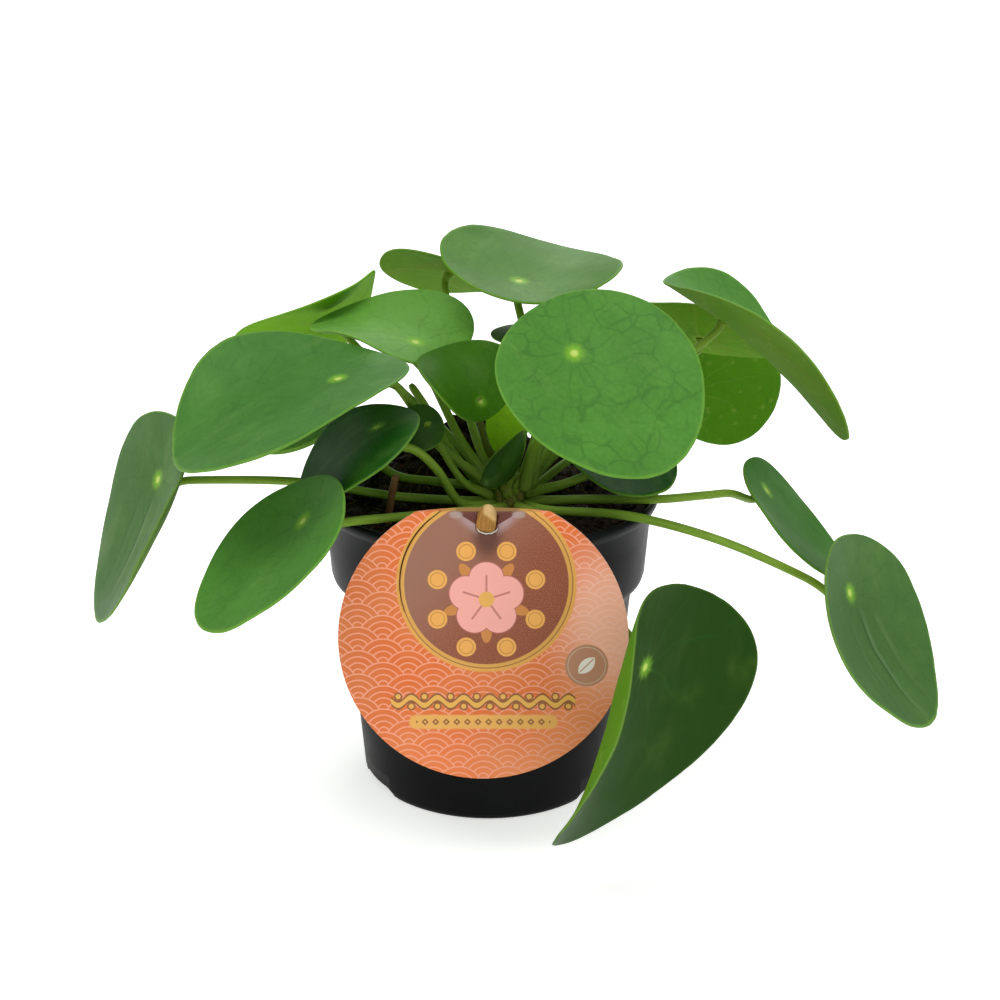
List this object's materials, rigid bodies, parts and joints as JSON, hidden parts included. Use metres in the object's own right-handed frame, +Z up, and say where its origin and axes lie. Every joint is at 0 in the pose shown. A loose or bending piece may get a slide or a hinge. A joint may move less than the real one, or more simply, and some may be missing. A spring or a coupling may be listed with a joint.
{
  "type": "potted plant",
  "caption": "Bushy potted plant with round leaves on long stalks growing from a short stem in a round flared nursery pot, with a round card label on a stake.",
  "frame": {"origin": "centre of the pot's flat base, in the plane that it stands on", "axes": "+Z up out of the pot, -Y out of the label's printed face, +X to the right when the label is seen from the front"},
  "size_m": [0.2925, 0.2858, 0.192],
  "materials": {
    "pot": "satin",
    "soil": "rough",
    "stem": "matte",
    "leaf": "satin",
    "stalk": "satin",
    "dry": "rough",
    "card": "satin",
    "stake": "matte"
  },
  "bodies": {
    "root": {"pot": "pot", "soil": "soil", "main_stem": "stem", "leaf_far_left": "leaf", "leaf_left_large": "leaf", "leaf_lower_left": "leaf", "leaf_left_inner": "leaf", "leaf_left_small": "leaf", "leaf_upper_left": "leaf", "leaf_back_left": "leaf", "leaf_back_small": "leaf", "leaf_top": "leaf", "leaf_front_large": "leaf", "leaf_front_hidden": "leaf", "leaf_centre_upright": "leaf", "leaf_back_right_low": "leaf", "leaf_back_right_high": "leaf", "leaf_right_cupped": "leaf", "leaf_right_narrow": "leaf", "leaf_far_right": "leaf", "leaf_front_hanging": "leaf", "leaf_soil_right": "leaf", "leaf_top_small": "leaf", "leaf_left_under": "leaf", "leaf_young_dark": "leaf", "leaf_young_bright": "leaf", "stalk_leafless": "stalk", "stalk_dry": "dry", "label_stake": "stake", "label_card": "card"}
  },
  "joints": []
}
